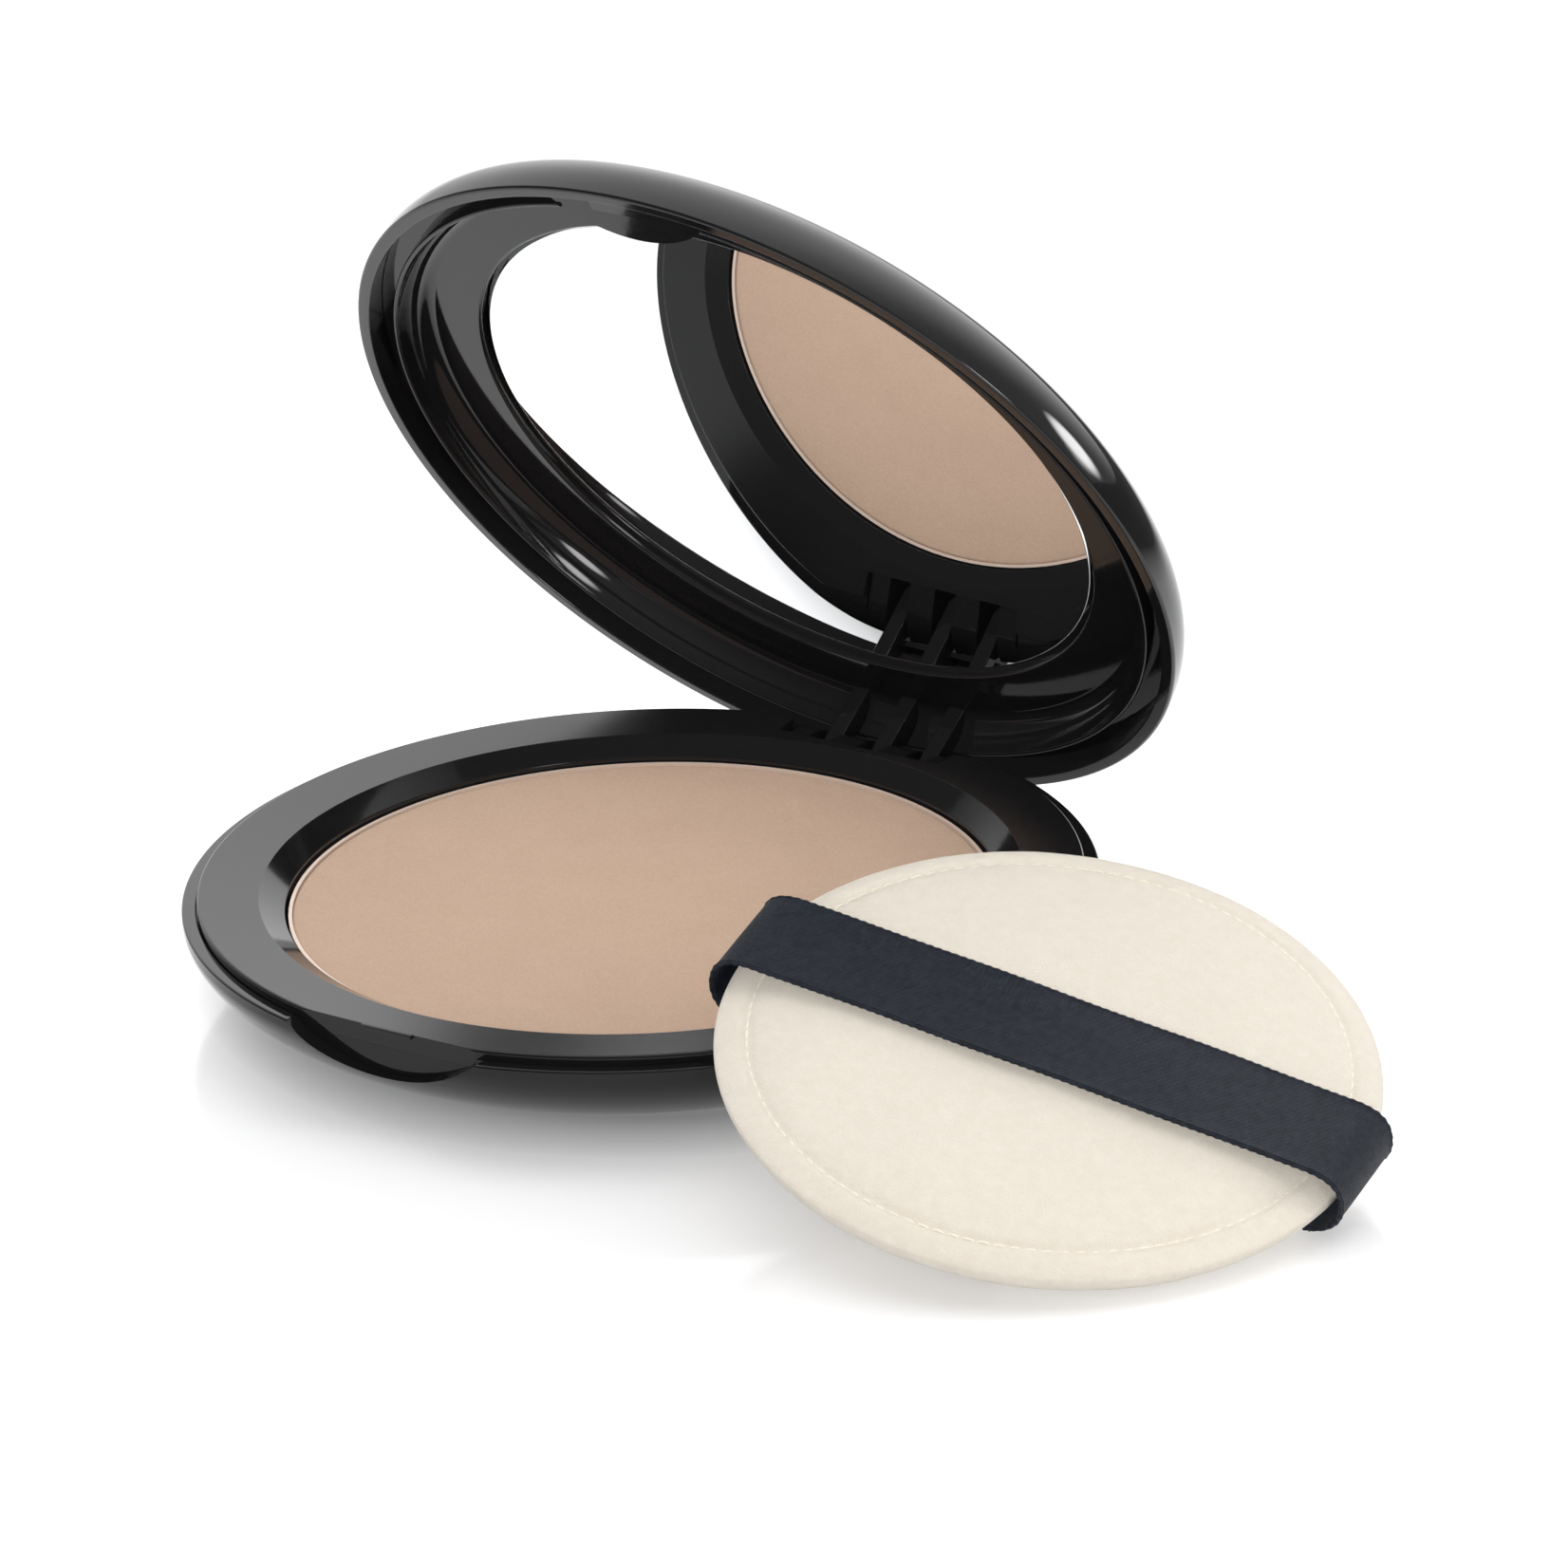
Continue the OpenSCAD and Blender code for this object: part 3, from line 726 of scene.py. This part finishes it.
def make_lid_frame(material):
    curve_r = RIM_INNER_R - 2.2
    bead_z = FRAME_LIP + FRAME_BEAD
    rise = BEZEL_DEPTH - bead_z
    slope = [
        (BEZEL_R + (curve_r - BEZEL_R) * math.sin(a), BEZEL_DEPTH - rise * (1 - math.cos(a)))
        for a in (math.pi / 2 * k / 32 for k in range(33))
    ]
    recess_r = MIRROR_R + 0.08
    inner = lathe("lid_inner", [
        (0, FRAME_FLOOR), (recess_r, FRAME_FLOOR),
        *arc(recess_r + BEZEL_ROUND, BEZEL_DEPTH + BEZEL_ROUND, BEZEL_ROUND, 180, 270, 8),
        *slope, *arc(curve_r + FRAME_BEAD, bead_z, FRAME_BEAD, 180, 360, 16)[1:],
        (curve_r + 2 * FRAME_BEAD + 0.05, FRAME_SEAT), (RIM_INNER_R - 0.05, FRAME_SEAT),
        (RIM_INNER_R - 0.05, RIM_SEAT), (LID_HOLLOW_R - 0.4, RIM_SEAT),
        (LID_HOLLOW_R - 1.2, 3.2), (33.9, 5.2), (31.2, 5.6), (30, 6.6), (27, FRAME_FLOOR + FRAME_FLOOR_T),
        (0, FRAME_FLOOR + FRAME_FLOOR_T),
    ])
    cut(inner, prism("tab_hole", half_moon(), "Z", -1, BEZEL_DEPTH))
    tab = prism("tab", half_moon(), "Z", TAB_DEPTH, BEZEL_DEPTH + 0.3)
    overlap(tab, lathe("rim_room", [
        (0, 0), (RIM_INNER_R - 0.05, 0), (RIM_INNER_R - 0.05, RIM_SEAT), (LID_HOLLOW_R - 0.2, RIM_SEAT),
        (LID_HOLLOW_R - 0.5, 3), (LID_HOLLOW_R - 1.4, 4.5), (0, 4.5),
    ]))
    join(inner, tab)
    inner.data.transform(Matrix.Translation((0, 0, PART_Z)))
    top = PART_Z + BEZEL_DEPTH + 0.1
    rear = HINGE_Y + 1.4
    lug = [
        *arc(HINGE_Y, HINGE_Z, LUG_R, 180, 400, 40), (rear, HINGE_Z + 1.2), (rear, PART_Z + FRAME_SEAT + 0.2),
        (rear - 1.5, top), (HINGE_Y - LUG_R - 0.2, top),
    ]
    for k in (-1, 0, 1):
        lug_solid = prism("lug", lug, "X", k * LUG_PITCH - LUG_W / 2, k * LUG_PITCH + LUG_W / 2)
        join(inner, soften(lug_solid, 0.4, 50, 4))
    bar = box(
        "bar",
        (-CHEEK_IN, RIM_INNER_R - BAR_T, PART_Z - 0.2),
        (CHEEK_IN, RIM_INNER_R, PART_Z + FRAME_SEAT + 0.25),
    )
    hug = BARREL_R + TONGUE_GAP
    join(bar, prism("tongue", [
        *arc(HINGE_Y, HINGE_Z, hug, 60, 94, 16), *arc(HINGE_Y, HINGE_Z, hug + TONGUE_T, 94, 60, 16),
    ], "X", -CHEEK_IN, CHEEK_IN))
    room_r = RIM_INNER_R - 0.05
    join(inner, overlap(bar, lathe("bar_room", [(0, 0), (room_r, 0), (room_r, 20), (0, 20)])))
    cut(inner, drum("bore", PIN_R + 0.05, CHEEK_OUT))
    soften(inner, 0.08)
    finished(inner, material, "lid", ["lid_frame"], OPENED, weighted=True)


def make_mirror(material):
    flat_r = MIRROR_R - MIRROR_BEVEL - 0.05
    glass = lathe("mirror", [
        (0, 0), (flat_r, 0), *arc(flat_r, 0.12, 0.12, 270, 315, 3)[1:],
        (MIRROR_R, MIRROR_BEVEL), (MIRROR_R, MIRROR_T), (0, MIRROR_T),
    ])
    place = SHUT_LID @ Matrix.Translation((0, 0, MIRROR_DEPTH))
    finished(glass, material, "lid", ["mirror_glass"], place, sharp=20)


# ---------------------------------------------------------------- puff
def disc_grid(side):
    """Evenly spread points of a unit disc on a square grid, with no pole in the middle."""
    line = np.linspace(-1, 1, side)
    x, y = np.meshgrid(line, line, indexing="ij")
    return x * np.sqrt(1 - y * y / 2), y * np.sqrt(1 - x * x / 2)


def pad_height(r, crown):
    """Height of the puff's skin above its seam plane at radius r."""
    return crown * np.sqrt(np.clip(1 - (r / PUFF_R) ** 4, 0, 1))


def skin(radius, crown, side, marks):
    """Points of one skin on a square grid: height crown in the middle, 0 at the rim."""
    u, v = disc_grid(side)
    share = np.clip(np.hypot(u, v), 1e-9, 1)
    bend = np.sin(share * math.pi / 2)
    x, y = u / share * bend * radius, v / share * bend * radius
    z = crown * np.cos(share * math.pi / 2) * np.sqrt(1 + bend**2)
    if marks:
        r = bend * radius
        around = np.arctan2(y, x)
        groove = 0.3 * np.exp(-((r - SEAM_R) / 0.4) ** 2) + 0.12 * np.exp(-((r - SEAM_R) / 1.5) ** 2)
        pucker = 0.015 * np.exp(-((r - SEAM_R - 1) / 1) ** 2) * np.sin(46 * around + 3 * np.sin(5 * around))
        inside = np.clip((1 - share) * 8, 0, 1)
        soft = np.array([
            sum(noise.noise(Vector((a, b, crown)) * scale) * depth for scale, depth in PUFF_UNEVEN)
            for a, b in zip(x.ravel(), y.ravel())
        ]).reshape(x.shape)
        z = z + math.copysign(1, crown) * (pucker - groove - 0.12 + soft) * inside
    return np.stack([x, y, z], axis=-1)


def grid_faces(side, start, flip):
    """Quads of a square grid of points, numbered from start."""
    at = start + np.arange(side * side).reshape(side, side)
    quads = np.stack([at[:-1, :-1], at[1:, :-1], at[1:, 1:], at[:-1, 1:]], axis=-1).reshape(-1, 4)
    return quads[:, ::-1] if flip else quads


def rim_of(side):
    """Numbers of the grid's border points, in order round it."""
    at = np.arange(side * side).reshape(side, side)
    return np.concatenate([at[:-1, 0], at[-1, :-1], at[:0:-1, -1], at[0, :0:-1]])


def shell_between(name, outer, inner):
    """A closed solid between two skins on the same grid, joined along their rims."""
    side = outer.shape[0]
    up = outer[side // 2, side // 2, 2] > inner[side // 2, side // 2, 2]
    faces = [*grid_faces(side, 0, not up).tolist(), *grid_faces(side, side * side, up).tolist()]
    rim = rim_of(side)
    for a, b in zip(rim, np.roll(rim, -1)):
        faces.append([int(a), int(b), int(b + side * side), int(a + side * side)])
    bm = bmesh.new()
    both = np.concatenate([outer.reshape(-1, 3), inner.reshape(-1, 3)])
    points = [bm.verts.new(p) for p in both.tolist()]
    for face in faces:
        bm.faces.new([points[i] for i in face])
    return solid(bm, name)


def make_puff(cloth, foam):
    side = 181
    core_r = PUFF_R - 1
    pad = shell_between(
        "puff_foam",
        skin(core_r - 0.1, PUFF_TOP - CLOTH_T - 0.2, 61, False),
        skin(core_r - 0.1, -(PUFF_BELLY - CLOTH_T - 0.1), 61, False),
    )
    finished(pad, foam, "puff", ["puff_core"], LEANING, 60)
    for stands_for, crown in (("puff_face", PUFF_TOP), ("puff_back", -PUFF_BELLY)):
        inner_crown = crown - math.copysign(CLOTH_T, crown)
        outside, inside = skin(PUFF_R, crown, side, True), skin(core_r, inner_crown, side, False)
        piece = shell_between(stands_for + "_cloth", outside, inside)
        finished(piece, cloth, "puff", [stands_for], LEANING, 60)


def tube(name, path, radius):
    """A round cord of mesh along a path of points."""
    curve = bpy.data.curves.new(name, "CURVE")
    curve.dimensions = "3D"
    curve.bevel_depth = radius
    curve.bevel_resolution = 2
    line = curve.splines.new("POLY")
    line.points.add(len(path) - 1)
    for point, at in zip(line.points, path):
        point.co = (*at, 1)
    curve.use_fill_caps = True
    made = bpy.data.objects.new(name, curve)
    mesh = bpy.data.meshes.new_from_object(made)
    bpy.data.objects.remove(made)
    made = bpy.data.objects.new(name, mesh)
    bpy.context.scene.collection.objects.link(made)
    return made


def make_seam(material):
    """The run of stitches that draws the groove into the face."""
    bm = bmesh.new()
    z = pad_height(SEAM_R, PUFF_TOP) - SEAM_DEPTH
    lift = (-0.16, 0.02, 0.06, 0.02, -0.16)
    for k in range(SEAM_STITCHES):
        angles = [2 * math.pi * (k + s) / SEAM_STITCHES for s in (0.06, 0.28, 0.5, 0.72, 0.94)]
        path = [(SEAM_R * math.cos(a), SEAM_R * math.sin(a), z + h) for a, h in zip(angles, lift)]
        stitch = tube("stitch", path, 0.08)
        bm.from_mesh(stitch.data)
        bpy.data.objects.remove(stitch)
    seam = solid(bm, "seam_stitches")
    finished(seam, material, "puff", ["puff_seam"], LEANING, 60)


def smooth_line(points, per_span):
    """Catmull-Rom curve through the points."""
    before = 2 * np.array(points[0]) - points[1]
    after = 2 * np.array(points[-1]) - points[-2]
    ends = [before, *map(np.array, points), after]
    line = []
    for a, b, c, d in zip(ends, ends[1:], ends[2:], ends[3:]):
        for k in range(per_span):
            t = k / per_span
            square, cube = 2 * a - 5 * b + 4 * c - d, 3 * b - a - 3 * c + d
            line.append(0.5 * (2 * b + (c - a) * t + square * t * t + cube * t**3))
    line.append(np.array(points[-1], float))
    return np.array(line)


def make_ribbon(material):
    """A strap from edge to edge of the puff: thin satin with corded, toothed selvedges."""
    side = [*RIBBON_SIDE, *[(-x, z) for x, z in reversed(RIBBON_SIDE)]]
    line = smooth_line(side, 10)
    gaps = np.linalg.norm(np.diff(line, axis=0), axis=1)
    along = np.concatenate([[0], np.cumsum(gaps)])
    length = float(along[-1])
    steps = 700
    at = np.linspace(0, length, steps)
    line = np.stack([np.interp(at, along, line[:, k]) for k in range(2)], axis=1)
    slope = np.gradient(line, axis=0)
    slope /= np.linalg.norm(slope, axis=1)[:, None]
    outward = np.stack([slope[:, 1], -slope[:, 0]], axis=1)
    if outward[steps // 2, 1] < 0:
        outward = -outward
    right = np.array([0.25, 0.5, 0.75, 0.91, 0.93, 0.955, 0.985, 1])
    shares = np.concatenate([-right[::-1], [0], right])
    cord = np.exp(-((np.abs(shares) - 0.958) / 0.03) ** 2)
    tooth = 0.5 + 0.5 * np.sin(2 * math.pi * at / SELVEDGE_PITCH)
    middle = np.sin(math.pi * np.clip(at / length, 0, 1))
    top, bottom, where = [], [], []
    for k in range(steps):
        across = shares * RIBBON_W / 2
        edge = np.abs(shares) > 0.98
        across = across + np.sign(shares) * edge * 0.09 * tooth[k]
        camber = 0.1 * (1 - shares**2) * middle[k] + 0.05 * np.sin(at[k] * 0.35) * shares * middle[k]
        lift = RIBBON_T / 2 * (1 - 0.55 * edge) + cord * (0.07 + 0.05 * tooth[k])
        for rows, sign in ((top, 1), (bottom, -1)):
            offset = camber + sign * lift
            rows.append(np.stack([
                line[k, 0] + outward[k, 0] * offset, across, line[k, 1] + outward[k, 1] * offset,
            ], axis=1))
        where.append([(at[k], a) for a in across])
    bm = bmesh.new()
    uv = bm.loops.layers.uv.new("weave")
    width = len(shares)
    verts = [[bm.verts.new(p) for p in np.concatenate([t, b[::-1]])] for t, b in zip(top, bottom)]
    spots = [w + w[::-1] for w in where]
    for i in range(steps - 1):
        for j in range(2 * width):
            n = (j + 1) % (2 * width)
            face = bm.faces.new((verts[i][j], verts[i][n], verts[i + 1][n], verts[i + 1][j]))
            for loop, spot in zip(face.loops, (spots[i][j], spots[i][n], spots[i + 1][n], spots[i + 1][j])):
                loop[uv].uv = spot
    bm.faces.new(verts[0])
    bm.faces.new(verts[-1])
    ribbon = solid(bm, "ribbon")
    finished(ribbon, material, "puff", ["puff_ribbon"], RIBBON_PLACE, 50)


def make_ribbon_stitches(material):
    """Bar tacks that hold the ribbon's ends under the puff's rim."""
    x, z = RIBBON_SIDE[0]
    bm = bmesh.new()
    for end in (-1, 1):
        for row in range(-3, 4):
            y = row * 1.4
            stitch = tube("tack", [
                (end * (x + 0.45), y - 0.35, z - 0.28), (end * (x + 0.15), y - 0.12, z - 0.42),
                (end * (x - 0.15), y + 0.12, z - 0.42), (end * (x - 0.45), y + 0.35, z - 0.2),
            ], 0.12)
            bm.from_mesh(stitch.data)
            bpy.data.objects.remove(stitch)
    tacks = solid(bm, "ribbon_tacks")
    finished(tacks, material, "puff", ["ribbon_stitches"], RIBBON_PLACE, 60)


# ---------------------------------------------------------------- everything together
def dress(name, material):
    """Gives a CAD node that keeps its own mesh a finished material."""
    mesh = frame["nodes"][name].data
    mesh.materials.clear()
    mesh.materials.append(material)


make_camera()
make_world()
make_stage()

inner_black = gloss_black("inner_black", 0.3)
make_base_shell(inner_black)
make_base_deck(deck_black())
make_lid_shell(gloss_black("cover_black", 0.5))
make_lid_frame(inner_black)
make_powder(pressed_powder())
make_mirror(silvered_glass())
make_puff(
    velour("cream_velour", (0.735, 0.68, 0.595), (0.67, 0.61, 0.52)),
    matt("cream_foam", (0.9, 0.87, 0.78), (0.72, 0.68, 0.58), 2.5, 0.95, 0.2),
)
make_seam(thread("cream_thread", (0.84, 0.78, 0.68), (0.7, 0.63, 0.53)))
make_ribbon(satin_ribbon())
make_ribbon_stitches(thread("navy_thread", (0.03, 0.035, 0.045), (0.012, 0.014, 0.02)))

dress("godet", dusted_pan())
dress("hinge_pin", metal("pin_steel", (0.6, 0.6, 0.62), 3, (0.15, 4, 4), 0.25))
dress("base_label", matt("label_paper", (0.85, 0.84, 0.82), (0.78, 0.77, 0.74), 3, 0.75, 0.02))
dress("godet_glue", matt(
    "glue", (0.86, 0.83, 0.72), (0.76, 0.72, 0.6), 0.8, 0.3, 0.05, Transmission_Weight=0.3
))
dress("mirror_tape", matt("foam_tape", (0.87, 0.86, 0.8), (0.7, 0.69, 0.63), 2, 0.9, 0.1))
dress("mirror_backing", matt("mirror_paint", (0.13, 0.13, 0.14), (0.09, 0.09, 0.1), 1.5, 0.5, 0.02))
